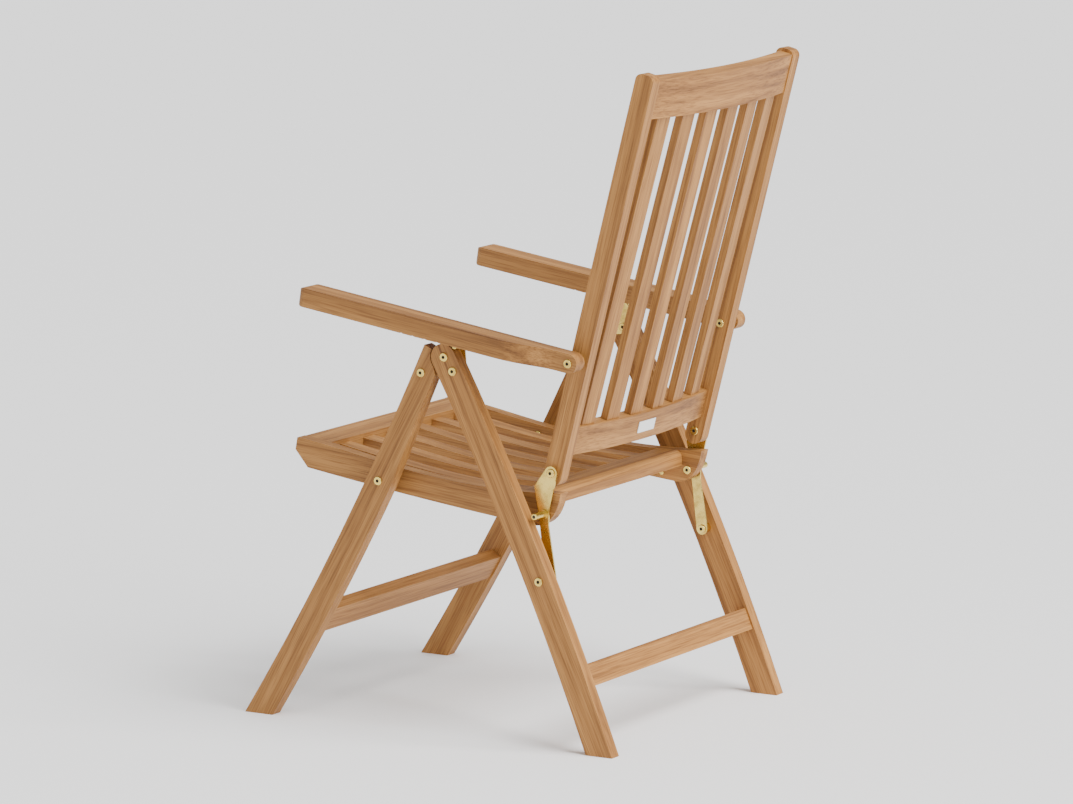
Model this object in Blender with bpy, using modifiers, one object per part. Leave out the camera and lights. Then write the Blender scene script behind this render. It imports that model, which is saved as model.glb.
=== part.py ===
"""Folding garden armchair in teak with brass hardware.

Rear legs, front legs, seat and back form a folding linkage on two brass link plates,
and the armrests rest on pins at the top of the legs. Side views are drawn in the
(y, z) plane: y runs from front to back, z up from the floor, all in metres.
The chair faces -Y, and +X is the sitter's left.
"""
import math

import bmesh
import bpy
from mathutils import Matrix, Vector

# ---------------------------------------------------------------- driving sizes
SEAT_INNER_WIDTH = 0.440       # between the inner faces of the seat's side rails
BOARD = 0.023                  # thickness of legs, seat rails and back stiles
CLEARANCE = 0.0003             # gap between pieces that touch
WASHER = 0.0045                # between rail or stile and link plate
PLATE = 0.003                  # brass link plate
LEG_SPACER = 0.0135            # between link plate and rear leg
ARM_SPACER = 0.0095            # between stile and armrest
ARM_TONGUE = 0.026             # armrest thickness across at its pivot
ARM_WIDTH = 0.0485             # armrest width at the hand
ARM_DEPTH = 0.031              # armrest height
BRACKET = 0.0025               # hinge bracket thickness

# pivots in the side view, on the chair as it stands open
SEAT_FRONT_PIVOT = (-0.1265, 0.4075)
LEG_HINGE = (-0.045, 0.590)
LINK_PIVOT = (0.173, 0.2715)
SEAT_REAR_PIVOT = (0.1605, 0.374)
BACK_PIVOT = (0.1735, 0.441)
BRACKET_BOLT_HIGH = (-0.002, 0.6186)
BRACKET_BOLT_LOW = (0.014, 0.5967)

REAR_LEG_TOP = (-0.004, 0.6175)    # centre of the round top
REAR_LEG_FOOT = (0.2833, 0.0)
REAR_LEG_BOW = 0.0115
FRONT_LEG_TOP = (-0.0369, 0.586)
FRONT_LEG_FOOT = (-0.359, 0.0)
FRONT_LEG_BOW = 0.0108
LEG_WIDTH = 0.0447
FRONT_LEG_NOSE = 0.0252        # round shoulder about the leg hinge
FRONT_LEG_HORN = 0.0445        # leg above the hinge
FRONT_LEG_BACK_AT_HINGE = 0.0234
LEG_TOP_GAP = 0.0018           # between the front leg's hollow and the rear leg's top

BACK_RECLINE = 14.5            # degrees from upright
BACK_LENGTH = 0.6638           # from the back's pivot to its top
BACK_BELOW_PIVOT = 0.0222
STILE_DEPTH = 0.032
STILE_TOP_RADIUS = 0.011
ARM_PIVOT_UP_STILE = 0.1894
BACK_SAG = 0.014               # how far the back's rails curve to the rear
RAIL_THICK = 0.022
TOP_RAIL_HEIGHT = 0.065
TOP_RAIL_FROM_END = 0.0055
TOP_RAIL_FORWARD = 0.002       # rail's rear face in front of the stile's rear edge
BOTTOM_RAIL_HEIGHT = 0.047
BOTTOM_RAIL_UP = 0.0270        # from the pivot to the rail's lower edge
BOTTOM_RAIL_FORWARD = 0.010
BACK_SLATS = 6
BACK_SLAT_WIDTH = 0.035
BACK_SLAT_THICK = 0.013
BACK_SLAT_PITCH = 0.070
LABEL = (0.053, 0.019, 0.0012)

SEAT_SLATS = 6
SEAT_SLAT_WIDTH = 0.032
SEAT_SLAT_THICK = 0.014
SEAT_SLAT_PITCH = 0.0715
SEAT_SLAT_DROP = 0.0065        # slats lie this far under the rail tops
FRONT_RAIL_DEPTH = 0.050
FRONT_RAIL_INSET = 0.0015      # its upper front edge behind the side rails' ends
FRONT_RAIL_THICK = 0.024
REAR_RAIL_DEPTH = 0.046
REAR_RAIL_THICK = 0.026
REAR_RAIL_BACK = 0.1505        # rear face of the seat's rear rail
REAR_RAIL_ROLL = 0.014         # rounding of its upper rear edge
SEAT_FRONT = -0.3087
SEAT_FRONT_TOP = 0.4563
SEAT_REAR_CORNER = (0.1872, 0.4082)

FRONT_STRETCHER = (0.045, 0.022)   # height along the leg, thickness
FRONT_STRETCHER_Z = 0.162
REAR_STRETCHER = (0.037, 0.022)
REAR_STRETCHER_Z = 0.1265
STRETCHER_INSET = 0.003        # behind the leg's edge

ARM_LENGTH = 0.497
ARM_SLOPE = 8.6                # degrees, down to the rear
ARM_STRAIGHT_FROM = 0.118      # from the pivot to where the taper ends
ARM_NOSE_RADIUS = 0.014        # plan rounding of the hand end
ARM_NOSE_ROLL = 0.009          # side rounding of the hand end
NOTCH_DEPTH = 0.0008
NOTCH_RADIUS = 0.0045
NOTCHES = 5
RECLINE_STEP = 7.5             # degrees between two notches
REST_PIN_RADIUS = 0.004
REST_PIN_Y = 0.0165

SHANK = 0.003                  # bolt shank radius
SHANK_FIT = 0.0003
HEAD = 0.0072
HEAD_THICK = 0.0025
HEAD_CHAMFER = 0.0009
SOCKET_RADIUS = 0.0026
SOCKET_DEPTH = 0.0018
SPACER_RADIUS = 0.0085
PEG_RADIUS = 0.0053
PEG_COLLAR = 0.008
PEG_COLLAR_THICK = 0.003
PEG_LENGTH = 0.0305
NUT_BARREL = 0.004             # radius of a nut's barrel in the seat rail
ARC_STEP = 9.0                 # degrees between points on a round outline

# ---------------------------------------------------------------- layers along X
RAIL_IN = SEAT_INNER_WIDTH / 2
RAIL_OUT = RAIL_IN + BOARD
PLATE_IN = RAIL_OUT + WASHER
PLATE_OUT = PLATE_IN + PLATE
LEG_IN = PLATE_OUT + LEG_SPACER
LEG_OUT = LEG_IN + BOARD
ARM_IN = RAIL_OUT + ARM_SPACER
TONGUE_OUT = ARM_IN + ARM_TONGUE
ARM_OUT = ARM_IN + ARM_WIDTH
SIDES = (("left", 1), ("right", -1))

WOOD = {"color": (0.55, 0.32, 0.15, 1), "roughness": 0.55, "metallic": 0.0}
BRASS = {"color": (0.83, 0.66, 0.27, 1), "roughness": 0.28, "metallic": 1.0}
SATIN = {"color": (0.80, 0.80, 0.78, 1), "roughness": 0.35, "metallic": 0.6}


# ---------------------------------------------------------------- plane geometry
def vec(point):
    return Vector((point[0], point[1]))


def bearing(direction):
    return math.degrees(math.atan2(direction.y, direction.x))


def unit(degrees):
    return Vector((math.cos(math.radians(degrees)), math.sin(math.radians(degrees))))


def arc(centre, radius, start, end):
    """Points on a round stretch, from one angle to another, in degrees."""
    count = max(2, int(abs(end - start) / ARC_STEP) + 1)
    angles = [start + (end - start) * i / count for i in range(count + 1)]
    return [vec(centre) + unit(a) * radius for a in angles]


def circle(centre, radius, count=16):
    return [vec(centre) + unit(360 * i / count) * radius for i in range(count)]


def bezier(points, count=12):
    """Points along a cubic curve given by its four control points."""
    a, b, c, d = (vec(p) for p in points)
    run = []
    for i in range(count + 1):
        t = i / count
        s = 1 - t
        run.append(a * s**3 + b * 3 * s * s * t + c * 3 * s * t * t + d * t**3)
    return run


def hull(points):
    """The outline of a strap stretched around the points, counter-clockwise."""
    ordered = sorted(points, key=lambda p: (p.x, p.y))
    sides = []
    for run in (ordered, ordered[::-1]):
        side = []
        for p in run:
            while len(side) > 1 and (side[-1] - side[-2]).cross(p - side[-2]) <= 1e-9:
                side.pop()
            side.append(p)
        sides += side[:-1]
    return sides


def strap(rounds):
    return hull([p for centre, radius in rounds for p in circle(centre, radius, 40)])


class Bow:
    """A board whose centre line is a shallow arc between two points."""

    def __init__(self, top, foot, bow):
        self.top = vec(top)
        self.foot = vec(foot)
        chord = self.foot - self.top
        half = chord.length / 2
        self.radius = (half * half + bow * bow) / (2 * bow)
        along = chord.normalized()
        self.outward = Vector((-along.y, along.x))
        middle = (self.top + self.foot) / 2 + self.outward * bow
        self.centre = middle - self.outward * self.radius

    def edge_at_height(self, offset, z):
        """Point of the edge offset outwards from the centre line, at a height."""
        radius = self.radius + offset
        rise = z - self.centre.y
        reach = math.sqrt(radius * radius - rise * rise)
        return Vector((self.centre.x + math.copysign(reach, self.outward.x), z))

    def edge_near(self, offset, point):
        """Point of an edge nearest to another point."""
        away = (vec(point) - self.centre).normalized()
        return self.centre + away * (self.radius + offset)

    def edge(self, offset, start, end, count=10):
        """Points of an edge from one of its points to another."""
        radius = self.radius + offset
        a = math.atan2(start.y - self.centre.y, start.x - self.centre.x)
        b = math.atan2(end.y - self.centre.y, end.x - self.centre.x)
        turn = (b - a + math.pi) % (2 * math.pi) - math.pi
        angles = [a + turn * i / count for i in range(count + 1)]
        return [self.centre + Vector((math.cos(t), math.sin(t))) * radius for t in angles]

    def normal_at(self, point):
        return (vec(point) - self.centre).normalized()


# ---------------------------------------------------------------- scene and solids
def clear_scene():
    for obj in list(bpy.data.objects):
        bpy.data.objects.remove(obj, do_unlink=True)


def make_collection(name):
    collection = bpy.data.collections.new(name)
    bpy.context.scene.collection.children.link(collection)
    return collection


clear_scene()
CHAIR = make_collection("folding_chair")
CUTTERS = make_collection("cutters")
BODIES = {}
SIDE_VIEW = Matrix.Rotation(math.radians(90), 4, "Z") @ Matrix.Rotation(math.radians(90), 4, "X")


def make_body(name, pivot, parent=None):
    """An empty on the joint's axis, which the pieces of one moving body hang from."""
    empty = bpy.data.objects.new("body_" + name, None)
    CHAIR.objects.link(empty)
    empty.empty_display_size = 0.03
    empty.location = (0, pivot[0], pivot[1])
    if parent:
        hang(empty, parent)
    BODIES[name] = empty


def hang(obj, body):
    bpy.context.view_layer.update()
    obj.parent = BODIES[body]
    obj.matrix_parent_inverse = BODIES[body].matrix_world.inverted()


def paint(obj, look):
    material = bpy.data.materials.new(obj.name)
    material.use_nodes = True
    shader = material.node_tree.nodes["Principled BSDF"]
    shader.inputs["Base Color"].default_value = look["color"]
    shader.inputs["Roughness"].default_value = look["roughness"]
    shader.inputs["Metallic"].default_value = look["metallic"]
    material.diffuse_color = look["color"]
    obj.data.materials.clear()
    obj.data.materials.append(material)


def finish(obj, name, look, body):
    obj.name = name
    obj.data.name = name
    paint(obj, look)
    obj.data.shade_smooth()
    obj.data.set_sharp_from_angle(angle=math.radians(35))
    hang(obj, body)
    return obj


def outline_mesh(outlines, thickness, placing, name="board"):
    """A flat outline, with holes as further outlines, given a thickness."""
    curve = bpy.data.curves.new(name, "CURVE")
    curve.dimensions = "2D"
    curve.fill_mode = "BOTH"
    curve.extrude = thickness / 2
    for outline in outlines:
        spline = curve.splines.new("POLY")
        spline.points.add(len(outline) - 1)
        for point, place in zip(spline.points, outline):
            point.co = (place[0], place[1], 0, 1)
        spline.use_cyclic_u = True
    drawn = bpy.data.objects.new(name, curve)
    CHAIR.objects.link(drawn)
    drawn.matrix_world = placing
    bpy.context.view_layer.update()
    mesh = bpy.data.meshes.new_from_object(
        drawn.evaluated_get(bpy.context.evaluated_depsgraph_get())
    )
    solid = bpy.data.objects.new(name, mesh)
    CHAIR.objects.link(solid)
    solid.matrix_world = drawn.matrix_world
    bpy.data.objects.remove(drawn)
    shell = bmesh.new()
    shell.from_mesh(mesh)
    bmesh.ops.remove_doubles(shell, verts=shell.verts, dist=0.00001)
    bmesh.ops.recalc_face_normals(shell, faces=shell.faces)
    shell.to_mesh(mesh)
    shell.free()
    return solid


def side_board(name, outline, holes, x_near, x_far, look, body):
    """A board seen as its outline from the side, between two planes across the chair."""
    placing = Matrix.Translation(((x_near + x_far) / 2, 0, 0)) @ SIDE_VIEW
    rings = [circle(centre, radius) for centre, radius in holes]
    solid = outline_mesh([outline] + rings, abs(x_far - x_near), placing, name)
    return finish(solid, name, look, body)


def move_to(collection, obj):
    for home in list(obj.users_collection):
        home.objects.unlink(obj)
    collection.objects.link(obj)


def block(size):
    """A plain board centred on the origin."""
    bpy.ops.mesh.primitive_cube_add(size=1)
    board = bpy.context.object
    move_to(CHAIR, board)
    board.data.transform(Matrix.Diagonal((*size, 1)))
    return board


def cut_all(target, cutters, operation="DIFFERENCE"):
    for cutter in cutters:
        cutter.hide_render = True
        cutter.display_type = "WIRE"
        move_to(CUTTERS, cutter)
        boolean = target.modifiers.new("cut", "BOOLEAN")
        boolean.operation = operation
        boolean.solver = "EXACT"
        boolean.object = cutter


# ---------------------------------------------------------------- turned hardware
def turned(name, profile, centre, side, sides=20):
    """A turned piece on an axis across the chair.

    The profile is (x, radius) pairs, from its inner end to its outer end.
    """
    mesh = bpy.data.meshes.new(name)
    shell = bmesh.new()
    verts = [shell.verts.new((radius, 0, x)) for x, radius in reversed(profile)]
    for a, b in zip(verts, verts[1:]):
        shell.edges.new((a, b))
    shell.to_mesh(mesh)
    shell.free()
    obj = bpy.data.objects.new(name, mesh)
    CHAIR.objects.link(obj)
    screw = obj.modifiers.new("turn", "SCREW")
    screw.axis = "Z"
    screw.steps = sides
    screw.render_steps = sides
    screw.use_merge_vertices = True
    screw.merge_threshold = 0.00001
    obj.matrix_world = (
        Matrix.Translation((0, centre[0], centre[1]))
        @ Matrix.Rotation(math.radians(90 * side), 4, "Y")
    )
    return obj


def hex_socket(x_face, centre, side):
    """The hollow for a hexagon key, sunk from a face that looks along the axis."""
    bpy.ops.mesh.primitive_cylinder_add(
        vertices=6, radius=SOCKET_RADIUS, depth=2 * SOCKET_DEPTH
    )
    cutter = bpy.context.object
    cutter.name = "hex_socket"
    cutter.matrix_world = (
        Matrix.Translation((x_face * side, centre[0], centre[1]))
        @ Matrix.Rotation(math.radians(90), 4, "Y")
    )
    return cutter


def baked(obj):
    """The same piece with its modifiers applied, ready to be joined."""
    bpy.context.view_layer.update()
    graph = bpy.context.evaluated_depsgraph_get()
    mesh = bpy.data.meshes.new_from_object(obj.evaluated_get(graph))
    solid = bpy.data.objects.new(obj.name, mesh)
    CHAIR.objects.link(solid)
    solid.matrix_world = obj.matrix_world
    cutters = [m.object for m in obj.modifiers if m.type == "BOOLEAN"]
    bpy.data.objects.remove(obj)
    for cutter in cutters:
        bpy.data.objects.remove(cutter)
    return solid


def head_profile(face, outward):
    """Half section of a chamfered bolt head, from the face that it bears on."""
    rim = face + outward * (HEAD_THICK - HEAD_CHAMFER)
    crown = face + outward * HEAD_THICK
    return [(face, HEAD), (rim, HEAD), (crown, HEAD - HEAD_CHAMFER), (crown, 0)]


def peg_profile(face):
    """Half section of the rest peg: a collar, then a round peg with a soft tip."""
    collar = face + PEG_COLLAR_THICK
    tip = face + PEG_LENGTH
    return [
        (face, PEG_COLLAR),
        (collar, PEG_COLLAR),
        (collar, PEG_RADIUS),
        (tip - HEAD_CHAMFER, PEG_RADIUS),
        (tip, PEG_RADIUS - HEAD_CHAMFER),
        (tip, 0),
    ]


def through_bolt(name, centre, side, x_outer, x_inner, body, shoulder=None, peg=False):
    """A brass bolt whose two heads bear on an outer and an inner face.

    A shoulder is a pair of planes that it fills like a washer; a peg replaces the
    outer head.
    """
    profile = head_profile(x_inner, -1)[::-1]
    profile.append((x_inner, SHANK))
    if shoulder:
        profile += [
            (shoulder[0], SHANK),
            (shoulder[0], SPACER_RADIUS),
            (shoulder[1], SPACER_RADIUS),
            (shoulder[1], SHANK),
        ]
    profile.append((x_outer, SHANK))
    profile += peg_profile(x_outer) if peg else head_profile(x_outer, 1)
    bolt = turned(name, profile, centre, side)
    sockets = [hex_socket(x_inner - HEAD_THICK, centre, side)]
    if not peg:
        sockets.append(hex_socket(x_outer + HEAD_THICK, centre, side))
    cut_all(bolt, sockets)
    return finish(baked(bolt), name, BRASS, body)


def spacer(name, centre, side, x_inner, x_outer, body):
    """A brass tube around a shank, which keeps two pieces apart."""
    placing = Matrix.Translation((side * (x_inner + x_outer) / 2, 0, 0)) @ SIDE_VIEW
    rings = [circle(centre, SPACER_RADIUS, 24), circle(centre, SHANK + SHANK_FIT)]
    tube = outline_mesh(rings, x_outer - x_inner, placing, name)
    return finish(tube, name, BRASS, body)


# ---------------------------------------------------------------- derived places
BACK_UP = unit(90 - BACK_RECLINE)
BACK_REAR = Vector((BACK_UP.y, -BACK_UP.x))
ARM_PIVOT = vec(BACK_PIVOT) + BACK_UP * ARM_PIVOT_UP_STILE
ARM_FORWARD = unit(180 - ARM_SLOPE)
ARM_NORMAL = Vector((math.sin(math.radians(ARM_SLOPE)), math.cos(math.radians(ARM_SLOPE))))
REAR_LEG = Bow(REAR_LEG_TOP, REAR_LEG_FOOT, REAR_LEG_BOW)
FRONT_LEG = Bow(FRONT_LEG_TOP, FRONT_LEG_FOOT, FRONT_LEG_BOW)
HOLE = SHANK + SHANK_FIT


def arm_underside(y):
    """Height of the armrest's underside above the floor."""
    down = ARM_PIVOT - ARM_NORMAL * (ARM_DEPTH / 2)
    return down.y - (y - down.x) * math.tan(math.radians(ARM_SLOPE))


REST_PIN = (REST_PIN_Y, arm_underside(REST_PIN_Y) + NOTCH_DEPTH - CLEARANCE - REST_PIN_RADIUS)
REST_PIN_ROOT = (REST_PIN_Y, REST_PIN[1] - REST_PIN_RADIUS)


# ---------------------------------------------------------------- rear leg frame
def rear_leg_outline():
    half = LEG_WIDTH / 2
    top_out = REAR_LEG.edge_near(half, REAR_LEG_TOP)
    top_in = REAR_LEG.edge_near(-half, REAR_LEG_TOP)
    foot_out = REAR_LEG.edge_at_height(half, 0)
    foot_in = REAR_LEG.edge_at_height(-half, 0)
    start = bearing(top_out - vec(REAR_LEG_TOP))
    outline = REAR_LEG.edge(half, foot_out, top_out)
    outline += arc(REAR_LEG_TOP, half, start, start + 180)[1:-1]
    outline += REAR_LEG.edge(-half, top_in, foot_in)
    return outline


def add_rear_legs():
    outline = rear_leg_outline()
    holes = [(p, HOLE) for p in (LINK_PIVOT, BRACKET_BOLT_HIGH, BRACKET_BOLT_LOW)]
    for word, side in SIDES:
        name = "rear_leg_" + word
        side_board(name, outline, holes, side * LEG_IN, side * LEG_OUT, WOOD, "rear_frame")


def stretcher(name, leg, z, size, body):
    """A board between two legs, set square to them just inside their rear edge."""
    edge = leg.edge_at_height(LEG_WIDTH / 2, z)
    forward = -leg.normal_at(edge)
    height, thickness = size
    centre = edge + forward * (STRETCHER_INSET + thickness / 2)
    board = block((2 * (LEG_IN - CLEARANCE), thickness, height))
    board.location = (0, centre.x, centre.y)
    board.rotation_euler = (math.atan2(forward.y, forward.x), 0, 0)
    finish(board, name, WOOD, body)


def bracket_outline():
    return strap(
        [
            (LEG_HINGE, 0.0115),
            (BRACKET_BOLT_HIGH, 0.014),
            (BRACKET_BOLT_LOW, 0.0115),
            (REST_PIN_ROOT, 0.006),
        ]
    )


def add_brackets():
    face = LEG_IN - CLEARANCE
    holes = [(p, HOLE) for p in (LEG_HINGE, BRACKET_BOLT_HIGH, BRACKET_BOLT_LOW)]
    for word, side in SIDES:
        side_board(
            "hinge_bracket_" + word,
            bracket_outline(),
            holes,
            side * (face - BRACKET),
            side * face,
            BRASS,
            "rear_frame",
        )
    inner = face - BRACKET - CLEARANCE
    outer = LEG_OUT + CLEARANCE
    places = (
        ("bracket_bolt_upper_", BRACKET_BOLT_HIGH),
        ("bracket_bolt_lower_", BRACKET_BOLT_LOW),
        ("leg_hinge_bolt_", LEG_HINGE),
    )
    for word, side in SIDES:
        for name, place in places:
            through_bolt(name + word, place, side, outer, inner, "rear_frame")
        add_rest_pin("armrest_rest_pin_" + word, side, face + CLEARANCE)


def add_rest_pin(name, side, root):
    """The pin that an armrest's notch sits on, standing out over the leg's top."""
    profile = [
        (root, 0),
        (root, REST_PIN_RADIUS),
        (LEG_OUT - HEAD_CHAMFER, REST_PIN_RADIUS),
        (LEG_OUT, REST_PIN_RADIUS - HEAD_CHAMFER),
        (LEG_OUT, 0),
    ]
    pin = baked(turned(name, profile, REST_PIN, side))
    finish(pin, name, BRASS, "rear_frame")


def add_link_pivots():
    outer = LEG_OUT + CLEARANCE
    inner = PLATE_IN - CLEARANCE
    for word, side in SIDES:
        name = "link_pivot_bolt_" + word
        through_bolt(name, LINK_PIVOT, side, outer, inner, "rear_frame")
        name = "link_pivot_spacer_" + word
        near = PLATE_OUT + CLEARANCE
        spacer(name, LINK_PIVOT, side, near, LEG_IN - CLEARANCE, "rear_frame")


# ---------------------------------------------------------------- front leg frame
def front_leg_outline():
    """Front edge, horn over the hinge, round shoulder, narrowed back, rear edge."""
    half = LEG_WIDTH / 2
    hinge = vec(LEG_HINGE)
    back = FRONT_LEG.normal_at(hinge)
    up = Vector((-back.y, back.x))
    horn = FRONT_LEG.edge_near(-half, hinge + up * FRONT_LEG_HORN)
    foot_front = FRONT_LEG.edge_at_height(-half, 0)
    foot_rear = FRONT_LEG.edge_at_height(half, 0)
    waist = FRONT_LEG.edge_near(half, SEAT_FRONT_PIVOT)
    # the horn's top edge runs square to the leg until it meets the hollow,
    # which clears the round top of the rear leg
    hollow = half + LEG_TOP_GAP
    gap = horn - vec(REAR_LEG_TOP)
    across = gap.dot(back)
    reach = -across - math.sqrt(across**2 - gap.length_squared + hollow**2)
    hollow_start = (bearing(horn + back * reach - vec(REAR_LEG_TOP)) + 360) % 360
    to_top = bearing(vec(REAR_LEG_TOP) - hinge)
    nose_end = math.degrees(math.asin(FRONT_LEG_BACK_AT_HINGE / FRONT_LEG_NOSE))
    shoulder_end = bearing(back) + 90 - nose_end
    outline = FRONT_LEG.edge(-half, foot_front, horn)
    outline += arc(REAR_LEG_TOP, hollow, hollow_start, to_top + 180)
    outline += arc(LEG_HINGE, FRONT_LEG_NOSE, to_top, shoulder_end)
    outline += FRONT_LEG.edge(half, waist, foot_rear)
    return outline


def add_front_legs():
    outline = front_leg_outline()
    holes = [(LEG_HINGE, HOLE), (SEAT_FRONT_PIVOT, HOLE)]
    for word, side in SIDES:
        name = "front_leg_" + word
        side_board(name, outline, holes, side * LEG_IN, side * LEG_OUT, WOOD, "front_frame")


def add_seat_front_pivots():
    """A bolt and spacer on the front leg, and the nut in the seat rail that takes it."""
    near = RAIL_OUT + CLEARANCE
    outer = LEG_OUT + CLEARANCE
    for word, side in SIDES:
        name = "seat_front_bolt_" + word
        profile = [(near, 0), (near, SHANK), (outer, SHANK)] + head_profile(outer, 1)
        bolt = turned(name, profile, SEAT_FRONT_PIVOT, side)
        cut_all(bolt, [hex_socket(outer + HEAD_THICK, SEAT_FRONT_PIVOT, side)])
        finish(baked(bolt), name, BRASS, "front_frame")
        name = "seat_front_spacer_" + word
        spacer(name, SEAT_FRONT_PIVOT, side, near, LEG_IN - CLEARANCE, "front_frame")
        add_seat_nut("seat_front_nut_" + word, side)


def add_seat_nut(name, side):
    head = RAIL_IN - CLEARANCE
    end = RAIL_OUT - CLEARANCE
    profile = head_profile(head, -1)[::-1]
    profile += [(head, NUT_BARREL), (end, NUT_BARREL), (end, 0)]
    nut = turned(name, profile, SEAT_FRONT_PIVOT, side)
    cut_all(nut, [hex_socket(head - HEAD_THICK, SEAT_FRONT_PIVOT, side)])
    finish(baked(nut), name, BRASS, "seat")


# ---------------------------------------------------------------- seat
SEAT_TOP_CURVE = (
    (SEAT_FRONT, SEAT_FRONT_TOP),
    (-0.20, 0.4465),
    (-0.05, 0.3925),
    SEAT_REAR_CORNER,
)
SEAT_BOTTOM_FRONT = (-0.289, 0.4083)
SEAT_BOTTOM_REAR = (0.140, 0.3525)
SEAT_CHIN = (-0.3123, 0.4365)
SEAT_REAR_CURVE = (SEAT_REAR_CORNER, (0.183, 0.385), (0.172, 0.3525), SEAT_BOTTOM_REAR)
SEAT_BOTTOM_CURVE = (SEAT_BOTTOM_REAR, (0.010, 0.3655), (-0.14, 0.3850), SEAT_BOTTOM_FRONT)


def seat_top(y):
    """Height of the side rails' top edge at a distance from the front."""
    run = bezier(SEAT_TOP_CURVE, 60)
    for a, b in zip(run, run[1:]):
        if a.x <= y <= b.x:
            return a.y + (b.y - a.y) * (y - a.x) / (b.x - a.x)
    return run[0].y if y < run[0].x else run[-1].y


def seat_rail_outline():
    outline = bezier(SEAT_TOP_CURVE, 16)
    outline += bezier(SEAT_REAR_CURVE, 10)[1:-1]
    outline += bezier(SEAT_BOTTOM_CURVE, 10)
    outline += [vec(SEAT_CHIN)]
    return outline


def add_seat():
    outline = seat_rail_outline()
    holes = [(SEAT_FRONT_PIVOT, NUT_BARREL + SHANK_FIT), (SEAT_REAR_PIVOT, HOLE)]
    for word, side in SIDES:
        name = "seat_rail_" + word
        side_board(name, outline, holes, side * RAIL_IN, side * RAIL_OUT, WOOD, "seat")
    add_seat_cross_rails()
    add_seat_slats()


def add_seat_cross_rails():
    end = RAIL_IN - CLEARANCE
    y0 = SEAT_FRONT + FRONT_RAIL_INSET
    y1 = y0 + FRONT_RAIL_DEPTH
    front = [
        Vector((y0, seat_top(y0))),
        Vector((SEAT_FRONT, seat_top(y0) - FRONT_RAIL_THICK)),
        Vector((y1, seat_top(y1) - FRONT_RAIL_THICK)),
        Vector((y1, seat_top(y1))),
    ]
    side_board("seat_front_rail", front, [], -end, end, WOOD, "seat")
    back = REAR_RAIL_BACK
    near = back - REAR_RAIL_DEPTH
    top = seat_top(back)
    roll = REAR_RAIL_ROLL
    rear = arc((back - roll, top - roll), roll, 0, 90)
    rear += [
        Vector((near, seat_top(near))),
        Vector((near, seat_top(near) - REAR_RAIL_THICK)),
        Vector((back, top - REAR_RAIL_THICK)),
    ]
    side_board("seat_rear_rail", rear, [], -end, end, WOOD, "seat")


def add_seat_slats():
    y0 = SEAT_FRONT + FRONT_RAIL_INSET + FRONT_RAIL_DEPTH + CLEARANCE
    y1 = REAR_RAIL_BACK - REAR_RAIL_DEPTH - CLEARANCE
    count = 12
    ys = [y0 + (y1 - y0) * i / count for i in range(count + 1)]
    top = [Vector((y, seat_top(y) - SEAT_SLAT_DROP)) for y in ys]
    outline = top + [p - Vector((0, SEAT_SLAT_THICK)) for p in reversed(top)]
    for i in range(SEAT_SLATS):
        x = (i - (SEAT_SLATS - 1) / 2) * SEAT_SLAT_PITCH
        half = SEAT_SLAT_WIDTH / 2
        side_board(f"seat_slat_{i + 1}", outline, [], x - half, x + half, WOOD, "seat")


# ---------------------------------------------------------------- link plates
def link_outline():
    """Round ends at the two pivots, a heel to the front, a slim lower strip."""
    outline = arc(BACK_PIVOT, 0.011, -18, 142)
    outline += arc((0.1475, 0.4165), 0.004, 142, 215)
    outline += [Vector((0.1512, 0.3740)), Vector((0.1560, 0.3350))]
    outline += arc(LINK_PIVOT, 0.010, 172, 368)
    outline += [Vector((0.1758, 0.3150)), Vector((0.1692, 0.3550)), Vector((0.1702, 0.3790))]
    return outline


def add_links():
    holes = [(p, HOLE) for p in (BACK_PIVOT, SEAT_REAR_PIVOT, LINK_PIVOT)]
    outer = PLATE_OUT + CLEARANCE
    inner = RAIL_IN - CLEARANCE
    washer = (RAIL_OUT + CLEARANCE, PLATE_IN - CLEARANCE)
    for word, side in SIDES:
        near = side * PLATE_IN
        far = side * PLATE_OUT
        side_board("link_plate_" + word, link_outline(), holes, near, far, BRASS, "link")
        name = "link_rest_peg_" + word
        through_bolt(name, SEAT_REAR_PIVOT, side, outer, inner, "link", washer, True)
        name = "back_pivot_bolt_" + word
        through_bolt(name, BACK_PIVOT, side, outer, inner, "link", washer)


# ---------------------------------------------------------------- back
def on_back(along, rearward):
    """A point given along the stile and square to it, from the back's pivot."""
    return vec(BACK_PIVOT) + BACK_UP * along + BACK_REAR * rearward


def stile_outline():
    half = STILE_DEPTH / 2
    low = -BACK_BELOW_PIVOT + half
    turn = -BACK_RECLINE
    r = STILE_TOP_RADIUS
    outline = arc(on_back(low, 0), half, 180 + turn, 360 + turn)
    outline += arc(on_back(BACK_LENGTH - r, half - r), r, turn, 90 + turn)
    outline += arc(on_back(BACK_LENGTH - r, r - half), r, 90 + turn, 180 + turn)
    return outline


def add_stiles():
    holes = [(BACK_PIVOT, HOLE), (ARM_PIVOT, HOLE)]
    for word, side in SIDES:
        side_board(
            "back_stile_" + word,
            stile_outline(),
            holes,
            side * RAIL_IN,
            side * RAIL_OUT,
            WOOD,
            "back",
        )


def sag(x):
    return BACK_SAG * (1 - (x / RAIL_IN) ** 2)


def back_frame_matrix(along, rearward):
    """Places a plan view: its x across the chair, its y to the rear of the back."""
    place = on_back(along, rearward)
    return Matrix.Translation((0, place.x, place.y)) @ Matrix.Rotation(
        math.radians(-BACK_RECLINE), 4, "X"
    )


def add_back_rail(name, low, height, rear_face):
    """A rail curved in plan; rear_face is its rear face at the stiles."""
    end = RAIL_IN - CLEARANCE
    count = 14
    xs = [-end + 2 * end * i / count for i in range(count + 1)]
    rear = [Vector((x, sag(x))) for x in xs]
    front = [Vector((x, sag(x) - RAIL_THICK)) for x in reversed(xs)]
    placing = back_frame_matrix(low + height / 2, rear_face)
    rail = outline_mesh([front[::-1] + rear[::-1]], height, placing, name)
    finish(rail, name, WOOD, "back")


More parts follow.
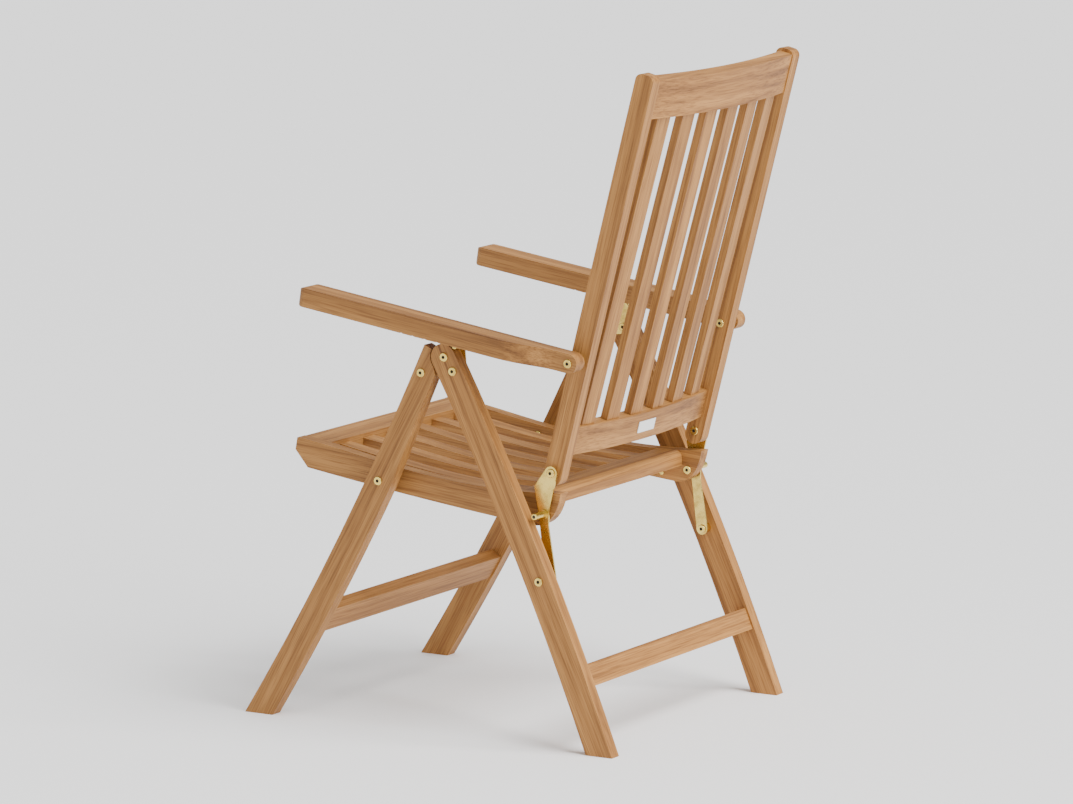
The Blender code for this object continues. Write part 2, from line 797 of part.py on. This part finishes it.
def add_back():
    add_stiles()
    half = STILE_DEPTH / 2
    top_low = BACK_LENGTH - TOP_RAIL_FROM_END - TOP_RAIL_HEIGHT
    top_rear = half - TOP_RAIL_FORWARD
    bottom_rear = half - BOTTOM_RAIL_FORWARD
    add_back_rail("back_top_rail", top_low, TOP_RAIL_HEIGHT, top_rear)
    add_back_rail("back_bottom_rail", BOTTOM_RAIL_UP, BOTTOM_RAIL_HEIGHT, bottom_rear)
    bottom_top = BOTTOM_RAIL_UP + BOTTOM_RAIL_HEIGHT
    add_back_slats(bottom_top, top_low, bottom_rear, top_rear)
    add_label(BOTTOM_RAIL_UP + BOTTOM_RAIL_HEIGHT / 2, bottom_rear)


def add_back_slats(low, high, low_rear, high_rear):
    """Straight slats between the two rails, each turned to follow their curve."""
    middle = RAIL_THICK / 2
    start = on_back(low + 2 * CLEARANCE, low_rear - middle)
    end = on_back(high - 2 * CLEARANCE, high_rear - middle)
    lean = math.atan2(end.x - start.x, end.y - start.y)
    length = (end - start).length
    slope = abs(lean - math.radians(BACK_RECLINE))
    length -= BACK_SLAT_THICK * math.tan(slope)
    for i in range(BACK_SLATS):
        x = (i - (BACK_SLATS - 1) / 2) * BACK_SLAT_PITCH
        bend = math.atan2(-2 * BACK_SAG * x, RAIL_IN**2)
        slat = block((BACK_SLAT_WIDTH, BACK_SLAT_THICK, length))
        centre = (start + end) / 2 + BACK_REAR * sag(x)
        slat.matrix_world = (
            Matrix.Translation((x, centre.x, centre.y))
            @ Matrix.Rotation(-lean, 4, "X")
            @ Matrix.Rotation(bend, 4, "Z")
        )
        finish(slat, f"back_slat_{i + 1}", WOOD, "back")


def add_label(along, rear_face):
    """A blank satin plate behind the bottom rail."""
    width, height, thick = LABEL
    placing = back_frame_matrix(along, rear_face + BACK_SAG + CLEARANCE + thick / 2)
    label = block((width, thick, height))
    label.matrix_world = placing
    finish(label, "back_label_plate", SATIN, "back")


# ---------------------------------------------------------------- armrests
def notch_places():
    """Distances from the arm's pivot to the rest pin, one for each back position."""
    places = []
    for i in range(NOTCHES):
        turned_up = unit(90 - BACK_RECLINE - RECLINE_STEP * i)
        pivot = vec(BACK_PIVOT) + turned_up * ARM_PIVOT_UP_STILE
        places.append((vec(REST_PIN) - pivot).length)
    return places


def arm_side_outline():
    """Side view in the arm's own frame: x forward from the pivot, y square to it."""
    half = ARM_DEPTH / 2
    roll = ARM_NOSE_ROLL
    outline = arc((0, 0), half, 90, 270)
    seat = -half + NOTCH_DEPTH - NOTCH_RADIUS
    spread = math.degrees(math.acos((NOTCH_RADIUS - NOTCH_DEPTH) / NOTCH_RADIUS))
    pin_drop = (vec(REST_PIN) - ARM_PIVOT).dot(ARM_NORMAL)
    for reach in notch_places():
        x = math.sqrt(reach * reach - pin_drop * pin_drop)
        steps = [90 + spread, 90 + spread / 2, 90, 90 - spread / 2, 90 - spread]
        outline += [Vector((x, seat)) + unit(a) * NOTCH_RADIUS for a in steps]
    outline += arc((ARM_LENGTH - roll, -half + roll), roll, 270, 360)
    outline += arc((ARM_LENGTH - roll, half - roll), roll, 0, 90)
    return outline


def arm_plan_outline(side):
    """Plan view: x across the chair, y to the rear of the pivot."""
    nose = ARM_NOSE_RADIUS
    tip = ARM_LENGTH + CLEARANCE  # the side view trims it to length
    back = -ARM_DEPTH / 2 - 0.002
    outline = [Vector((ARM_IN, back)), Vector((TONGUE_OUT, back))]
    outline += bezier(
        (
            (TONGUE_OUT, 0.020),
            (TONGUE_OUT, 0.050),
            (ARM_OUT, ARM_STRAIGHT_FROM - 0.045),
            (ARM_OUT, ARM_STRAIGHT_FROM),
        ),
        10,
    )
    outline += arc((ARM_OUT - nose, tip - nose), nose, 0, 90)
    outline += arc((ARM_IN + nose, tip - nose), nose, 90, 180)
    return [Vector((p.x * side, -p.y)) for p in outline]


def arm_plan_frame():
    """Axes of the arm's plan view: across, to the rear along the arm, and up."""
    forward = ARM_FORWARD
    up = ARM_NORMAL
    axes = Matrix(
        (
            (1, 0, 0, 0),
            (0, -forward.x, up.x, 0),
            (0, -forward.y, up.y, 0),
            (0, 0, 0, 1),
        )
    )
    return Matrix.Translation((0, ARM_PIVOT.x, ARM_PIVOT.y)) @ axes


def arm_side_frame():
    """Axes of the arm's side view: forward along the arm, up, and across."""
    forward = ARM_FORWARD
    up = ARM_NORMAL
    axes = Matrix(
        (
            (0, 0, -1, 0),
            (forward.x, up.x, 0, 0),
            (forward.y, up.y, 0, 0),
            (0, 0, 0, 1),
        )
    )
    return Matrix.Translation((0, ARM_PIVOT.x, ARM_PIVOT.y)) @ axes


def add_armrests():
    wide = 2 * (ARM_OUT + 0.01)
    for word, side in SIDES:
        name = "armrest_" + word
        arm = outline_mesh([arm_plan_outline(side)], ARM_DEPTH + 0.01, arm_plan_frame(), name)
        rings = [arm_side_outline(), circle((0, 0), HOLE)]
        shape = outline_mesh(rings, wide, arm_side_frame(), "arm_side_view")
        cut_all(arm, [shape], "INTERSECT")
        finish(baked(arm), name, WOOD, name)
        body = "arm_pivot_" + word
        outer = TONGUE_OUT + CLEARANCE
        inner = RAIL_IN - CLEARANCE
        through_bolt("arm_pivot_bolt_" + word, ARM_PIVOT, side, outer, inner, body)
        near = RAIL_OUT + CLEARANCE
        spacer("arm_pivot_spacer_" + word, ARM_PIVOT, side, near, ARM_IN - CLEARANCE, body)


# ---------------------------------------------------------------- the chair
def build():
    front = FRONT_LEG.edge_at_height(LEG_WIDTH / 2, 0).x
    front = min(front, FRONT_LEG.edge_at_height(-LEG_WIDTH / 2, 0).x)
    rail_top = BACK_LENGTH - TOP_RAIL_FROM_END
    rail_rear = STILE_DEPTH / 2 - TOP_RAIL_FORWARD + BACK_SAG
    rear = max(on_back(rail_top, rail_rear).x, max(p.x for p in stile_outline()))
    make_body("rear_frame", LEG_HINGE)
    make_body("front_frame", LEG_HINGE, "rear_frame")
    make_body("link", LINK_PIVOT, "rear_frame")
    make_body("seat", SEAT_REAR_PIVOT, "link")
    make_body("back", BACK_PIVOT, "link")
    for word, side in SIDES:
        make_body("arm_pivot_" + word, ARM_PIVOT, "back")
        make_body("armrest_" + word, ARM_PIVOT, "arm_pivot_" + word)
    add_rear_legs()
    stretcher("rear_stretcher", REAR_LEG, REAR_STRETCHER_Z, REAR_STRETCHER, "rear_frame")
    add_brackets()
    add_link_pivots()
    add_front_legs()
    stretcher("front_stretcher", FRONT_LEG, FRONT_STRETCHER_Z, FRONT_STRETCHER, "front_frame")
    add_seat_front_pivots()
    add_seat()
    add_links()
    add_back()
    add_armrests()
    # the chair's origin lies on the floor under the middle of its box
    BODIES["rear_frame"].location.y -= (front + rear) / 2



build()
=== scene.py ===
"""Looks of the folding garden armchair: teak boards, brass hardware, studio floor."""
import math
import random

import bpy
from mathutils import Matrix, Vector


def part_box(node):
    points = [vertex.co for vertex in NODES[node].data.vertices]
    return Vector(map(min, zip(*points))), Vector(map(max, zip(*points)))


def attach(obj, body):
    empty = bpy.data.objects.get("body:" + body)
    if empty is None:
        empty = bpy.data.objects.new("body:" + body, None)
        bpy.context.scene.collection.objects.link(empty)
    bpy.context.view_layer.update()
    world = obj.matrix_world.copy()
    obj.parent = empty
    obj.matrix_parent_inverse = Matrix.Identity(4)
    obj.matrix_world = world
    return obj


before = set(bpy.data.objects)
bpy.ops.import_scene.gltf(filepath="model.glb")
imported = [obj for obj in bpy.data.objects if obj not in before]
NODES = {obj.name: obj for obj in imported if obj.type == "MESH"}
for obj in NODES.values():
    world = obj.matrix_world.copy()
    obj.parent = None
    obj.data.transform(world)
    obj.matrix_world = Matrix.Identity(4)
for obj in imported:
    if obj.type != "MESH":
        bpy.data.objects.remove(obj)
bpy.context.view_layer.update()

# ---------------------------------------------------------------- sizes and looks
EDGE_ROUND = 0.0028            # rounding of the edges of legs and rails
SMALL_EDGE_ROUND = 0.0018      # and of slats and armrests
METAL_EDGE_ROUND = 0.0004
SHARP_ANGLE = 40               # degrees: only edges sharper than this are rounded

# the camera looks at the target from behind the chair's left side

TARGET = Vector((0, 0.010044, 0.5057))
AZIMUTH = 120.476
ELEVATION = 9.340
DISTANCE = 9.724
LENS = 199.58

TEAK_LIGHT = (0.500, 0.240, 0.066, 1)
TEAK_MIDDLE = (0.390, 0.175, 0.043, 1)
TEAK_DARK = (0.240, 0.098, 0.022, 1)
BRASS = (0.820, 0.610, 0.170, 1)
BRASS_DARK = (0.560, 0.380, 0.090, 1)
# painted shade: a near-black colour is put inside the sockets of the bolt heads, where the
# recess falls in shade
SOCKET_PAINTED_SHADE = (0.030, 0.020, 0.010, 1)
SOCKET_PAINTED_SHADE_RADIUS = 0.0027   # just outside the sockets of the bolt heads
SOCKET_PAINTED_SHADE_FADE = 1.06
LABEL = (0.86, 0.86, 0.85, 1)

# noise scales along the grain and across it, per metre
BAND_SCALE = (1.1, 70, 70)
STREAK_SCALE = (12, 560, 560)
CLOUD_SCALE = (2.2, 9, 9)
PORE_SHADE = (0.52, 0.45, 0.38, 1)
CLOUD_SHADE = (0.86, 0.84, 0.82, 1)
WHITE = (1, 1, 1, 1)
PORE_STRENGTH = 0.75
GRAIN_BUMP = 0.12
GRAIN_BUMP_DEPTH = 0.0006
WEAR_SCALE = 60.0
FLOOR_COLOUR = (0.95, 0.95, 0.95, 1)
FLOOR_SIZE = 60

# directions of the grain at rest
REAR_LEG_GRAIN = Vector((0, 0.419, -0.908))
FRONT_LEG_GRAIN = Vector((0, -0.482, -0.876))
STILE_GRAIN = Vector((0, math.cos(math.radians(75.5)), math.sin(math.radians(75.5))))
ARM_GRAIN = Vector((0, -math.cos(math.radians(8.6)), math.sin(math.radians(8.6))))
SEAT_GRAIN = Vector((0, 1, -0.10))
ACROSS = Vector((1, 0, 0))

SUN_SPREAD = 40                # degrees: a wide, soft light

GRAIN = (
    ("rear_leg", REAR_LEG_GRAIN),
    ("front_leg", FRONT_LEG_GRAIN),
    ("back_stile", STILE_GRAIN),
    ("back_slat", STILE_GRAIN),
    ("seat_slat", SEAT_GRAIN),
    ("seat_rail", SEAT_GRAIN),
    ("rear_stretcher", ACROSS),
    ("front_stretcher", ACROSS),
    ("seat_front_rail", ACROSS),
    ("seat_rear_rail", ACROSS),
    ("back_top_rail", ACROSS),
    ("back_bottom_rail", ACROSS),
    ("armrest_left", ARM_GRAIN),
    ("armrest_right", ARM_GRAIN),
)


# ---------------------------------------------------------------- material helpers
def new_material(name):
    material = bpy.data.materials.new(name)
    material.use_nodes = True
    tree = material.node_tree
    return material, tree, tree.nodes["Principled BSDF"]


def add_mapping(tree, vector, rotation=None, scale=None, location=None):
    mapping = tree.nodes.new("ShaderNodeMapping")
    if rotation:
        mapping.inputs["Rotation"].default_value = rotation
    if scale:
        mapping.inputs["Scale"].default_value = scale
    if location:
        mapping.inputs["Location"].default_value = location
    tree.links.new(vector, mapping.inputs["Vector"])
    return mapping.outputs["Vector"]


def add_noise(tree, vector, scale, detail=4, roughness=0.55, distortion=0.0):
    noise = tree.nodes.new("ShaderNodeTexNoise")
    noise.inputs["Scale"].default_value = scale
    noise.inputs["Detail"].default_value = detail
    noise.inputs["Roughness"].default_value = roughness
    noise.inputs["Distortion"].default_value = distortion
    tree.links.new(vector, noise.inputs["Vector"])
    return noise.outputs["Fac"]


def add_ramp(tree, factor, stops):
    ramp = tree.nodes.new("ShaderNodeValToRGB")
    elements = ramp.color_ramp.elements
    while len(elements) < len(stops):
        elements.new(0.5)
    for element, (place, colour) in zip(elements, stops):
        element.position = place
        element.color = colour
    tree.links.new(factor, ramp.inputs["Fac"])
    return ramp.outputs["Color"]


def add_mix(tree, factor, a, b, blend="MIX"):
    mix = tree.nodes.new("ShaderNodeMix")
    mix.data_type = "RGBA"
    mix.blend_type = blend
    if isinstance(factor, float):
        mix.inputs["Factor"].default_value = factor
    else:
        tree.links.new(factor, mix.inputs["Factor"])
    tree.links.new(a, mix.inputs["A"])
    tree.links.new(b, mix.inputs["B"])
    return mix.outputs["Result"]


def add_range(tree, value, low, high, from_low=0.0, from_high=1.0):
    node = tree.nodes.new("ShaderNodeMapRange")
    node.inputs["From Min"].default_value = from_low
    node.inputs["From Max"].default_value = from_high
    node.inputs["To Min"].default_value = low
    node.inputs["To Max"].default_value = high
    tree.links.new(value, node.inputs["Value"])
    return node.outputs["Result"]


def tinted(colour, tone):
    return (colour[0] * tone, colour[1] * tone, colour[2] * tone, 1)


def teak(name, grain, chance):
    """Straight-grained oiled teak, its grain along a direction in the chair's frame."""
    material, tree, shader = new_material("teak " + name)
    place = tree.nodes.new("ShaderNodeTexCoord").outputs["Object"]
    turn = grain.normalized().rotation_difference(Vector((1, 0, 0))).to_euler()
    turned = add_mapping(tree, place, rotation=turn)
    shift = (chance.uniform(-9, 9), chance.uniform(-9, 9), chance.uniform(-9, 9))
    bands = add_mapping(tree, turned, scale=BAND_SCALE, location=shift)
    streaks = add_mapping(tree, turned, scale=STREAK_SCALE, location=shift)
    clouds = add_mapping(tree, turned, scale=CLOUD_SCALE, location=shift)
    band = add_noise(tree, bands, 1.0, 3, 0.5, 0.35)
    streak = add_noise(tree, streaks, 1.0, 3, 0.6)
    cloud = add_noise(tree, clouds, 1.0, 2)
    tone = chance.uniform(0.90, 1.08)
    stops = (
        (0.30, tinted(TEAK_DARK, tone)),
        (0.47, tinted(TEAK_MIDDLE, tone)),
        (0.66, tinted(TEAK_LIGHT, tone)),
    )
    figure = add_ramp(tree, band, stops)
    pores = add_ramp(tree, streak, ((0.36, PORE_SHADE), (0.54, WHITE)))
    shade = add_ramp(tree, cloud, ((0.25, CLOUD_SHADE), (0.75, WHITE)))
    colour = add_mix(tree, PORE_STRENGTH, figure, pores, "MULTIPLY")
    colour = add_mix(tree, 1.0, colour, shade, "MULTIPLY")
    tree.links.new(colour, shader.inputs["Base Color"])
    rough = add_range(tree, streak, 0.62, 0.46)
    tree.links.new(rough, shader.inputs["Roughness"])
    bump = tree.nodes.new("ShaderNodeBump")
    bump.inputs["Strength"].default_value = GRAIN_BUMP
    bump.inputs["Distance"].default_value = GRAIN_BUMP_DEPTH
    tree.links.new(streak, bump.inputs["Height"])
    tree.links.new(bump.outputs["Normal"], shader.inputs["Normal"])
    shader.inputs["Specular IOR Level"].default_value = 0.35
    return material


def brass(name, axis=None):
    """Polished brass; round an axis across the chair its socket is painted dark inside, as
    painted shade.
    """
    material, tree, shader = new_material(name)
    place = tree.nodes.new("ShaderNodeTexCoord").outputs["Object"]
    wear = add_noise(tree, place, WEAR_SCALE, 5, 0.6)
    colour = add_ramp(tree, wear, ((0.30, BRASS_DARK), (0.55, BRASS)))
    rough = add_range(tree, wear, 0.34, 0.18)
    # painted shade: inside the socket round the axis the brass turns dark, matte and
    # non-metallic
    if axis:
        flat = add_mapping(tree, place, scale=(0, 1, 1))
        away = tree.nodes.new("ShaderNodeVectorMath")
        away.operation = "DISTANCE"
        away.inputs[1].default_value = (0, axis[0], axis[1])
        tree.links.new(flat, away.inputs[0])
        edge = SOCKET_PAINTED_SHADE_RADIUS
        painted_socket_shade_mask = add_range(tree, away.outputs["Value"], 0, 1, edge, edge * SOCKET_PAINTED_SHADE_FADE)
        shade = tree.nodes.new("ShaderNodeRGB")
        shade.outputs[0].default_value = SOCKET_PAINTED_SHADE
        colour = add_mix(tree, painted_socket_shade_mask, shade.outputs[0], colour)
        rough = add_range(tree, painted_socket_shade_mask, 0.8, 0.24)
        tree.links.new(painted_socket_shade_mask, shader.inputs["Metallic"])
    else:
        shader.inputs["Metallic"].default_value = 1.0
    tree.links.new(colour, shader.inputs["Base Color"])
    tree.links.new(rough, shader.inputs["Roughness"])
    return material


def satin():
    material, _, shader = new_material("blank satin label")
    shader.inputs["Base Color"].default_value = LABEL
    shader.inputs["Metallic"].default_value = 0.35
    shader.inputs["Roughness"].default_value = 0.38
    return material


def dress(obj, material):
    obj.data.materials.clear()
    obj.data.materials.append(material)


def round_edges(obj, width, segments=3):
    """Rounds a CAD piece's sharp edges; its own mesh stays as it is."""
    flat = obj.modifiers.new("flat faces", "DECIMATE")
    flat.decimate_type = "DISSOLVE"
    flat.angle_limit = math.radians(0.5)
    bevel = obj.modifiers.new("rounded edges", "BEVEL")
    bevel.width = width
    bevel.segments = segments
    bevel.limit_method = "ANGLE"
    bevel.angle_limit = math.radians(SHARP_ANGLE)
    bevel.miter_outer = "MITER_ARC"
    normals = obj.modifiers.new("even normals", "WEIGHTED_NORMAL")
    normals.keep_sharp = True


# ---------------------------------------------------------------- the chair's finish
METAL = brass("polished brass")
PLATE = satin()
CHANCE = random.Random(7)


def grain_of(name):
    """Grain direction of a wooden node, or None for a metal one."""
    for start, direction in GRAIN:
        if name.startswith(start):
            return direction
    return None


for node_name in sorted(NODES):
    node = NODES[node_name]
    direction = grain_of(node_name)
    if direction is not None:
        dress(node, teak(node_name, direction, CHANCE))
        slim = "slat" in node_name or node_name.startswith("armrest")
        round_edges(node, SMALL_EDGE_ROUND if slim else EDGE_ROUND)
    elif node_name == "back_label_plate":
        dress(node, PLATE)
        round_edges(node, METAL_EDGE_ROUND, 2)
    elif node_name.startswith(("link_plate", "hinge_bracket")):
        dress(node, METAL)
        round_edges(node, METAL_EDGE_ROUND, 2)
    elif "bolt" in node_name or "nut" in node_name or "rest_peg" in node_name:
        low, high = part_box(node_name)
        # the socket of each head gets painted shade round this axis
        axis = ((low[1] + high[1]) / 2, (low[2] + high[2]) / 2)
        dress(node, brass("brass " + node_name, axis))
    else:
        dress(node, METAL)


# ---------------------------------------------------------------- small screws
SCREW_AT = (0.121444, 0.3655)   # y and z
SCREW_RADIUS = 0.0045
SCREW_RISE = 0.0024
RAIL_INNER_FACE = 0.220
SCREW_GAP = 0.0001             # between the head and the rail
SCREW_RINGS = 5
SCREW_SIDES = 24


def rail_screw(name, side):
    """A round-headed screw on the inner face of a seat rail."""
    rings = SCREW_RINGS
    around = SCREW_SIDES
    face = RAIL_INNER_FACE - SCREW_GAP
    verts = []
    faces = []
    for i in range(rings):
        rise = math.radians(90 * i / rings)
        x = side * (face - SCREW_RISE * math.sin(rise))
        radius = SCREW_RADIUS * math.cos(rise)
        for k in range(around):
            turn = 2 * math.pi * k / around
            y = SCREW_AT[0] + radius * math.cos(turn)
            z = SCREW_AT[1] + radius * math.sin(turn)
            verts.append((x, y, z))
    verts.append((side * (face - SCREW_RISE), SCREW_AT[0], SCREW_AT[1]))
    for i in range(rings - 1):
        for k in range(around):
            n = (k + 1) % around
            faces.append(
                (i * around + k, i * around + n, (i + 1) * around + n, (i + 1) * around + k)
            )
    last = (rings - 1) * around
    for k in range(around):
        faces.append((last + k, last + (k + 1) % around, len(verts) - 1))
    faces.append(tuple(reversed(range(around))))
    if side > 0:
        faces = [tuple(reversed(face)) for face in faces]
    mesh = bpy.data.meshes.new(name)
    mesh.from_pydata(verts, [], faces)
    mesh.shade_smooth()
    screw = bpy.data.objects.new(name, mesh)
    bpy.context.scene.collection.objects.link(screw)
    dress(screw, METAL)
    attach(screw, "seat")


rail_screw("seat_rail_screw_left", 1)
rail_screw("seat_rail_screw_right", -1)


# ---------------------------------------------------------------- studio
def floor():
    bpy.ops.mesh.primitive_plane_add(size=FLOOR_SIZE)
    plane = bpy.context.object
    plane.name = "studio_floor"
    material, _, shader = new_material("studio floor")
    shader.inputs["Base Color"].default_value = FLOOR_COLOUR
    shader.inputs["Roughness"].default_value = 0.9
    shader.inputs["Specular IOR Level"].default_value = 0.1
    plane.data.materials.append(material)


def soft_box(name, place, aim, size, power):
    data = bpy.data.lights.new(name, "AREA")
    data.shape = "RECTANGLE"
    data.size = size[0]
    data.size_y = size[1]
    data.energy = power
    lamp = bpy.data.objects.new(name, data)
    lamp.location = place
    lamp.rotation_euler = (Vector(aim) - Vector(place)).to_track_quat("-Z", "Y").to_euler()
    bpy.context.scene.collection.objects.link(lamp)


def sun(name, place, strength):
    data = bpy.data.lights.new(name, "SUN")
    data.energy = strength
    data.angle = math.radians(SUN_SPREAD)
    lamp = bpy.data.objects.new(name, data)
    lamp.location = place
    lamp.rotation_euler = (-Vector(place)).to_track_quat("-Z", "Y").to_euler()
    bpy.context.scene.collection.objects.link(lamp)


def surroundings(strength):
    world = bpy.data.worlds.new("studio")
    world.use_nodes = True
    background = world.node_tree.nodes["Background"]
    background.inputs["Color"].default_value = (1.0, 1.0, 1.0, 1)
    background.inputs["Strength"].default_value = strength
    bpy.context.scene.world = world


def camera():
    data = bpy.data.cameras.new("photo_view")
    data.sensor_width = 36
    data.lens = LENS
    data.clip_end = 200
    a = math.radians(AZIMUTH)
    e = math.radians(ELEVATION)
    back = Vector((math.sin(a) * math.cos(e), -math.cos(a) * math.cos(e), math.sin(e)))
    view = bpy.data.objects.new("photo_view", data)
    view.location = TARGET + back * DISTANCE
    view.rotation_euler = (-back).to_track_quat("-Z", "Y").to_euler()
    bpy.context.scene.collection.objects.link(view)
    bpy.context.scene.camera = view


floor()
surroundings(0.62)
sun("sky", (0.4, 4.8, 6.6), 4.4)
soft_box("key", (1.6, 5.2, 3.0), (0, 0, 0.6), (2.4, 2.4), 160)
camera()
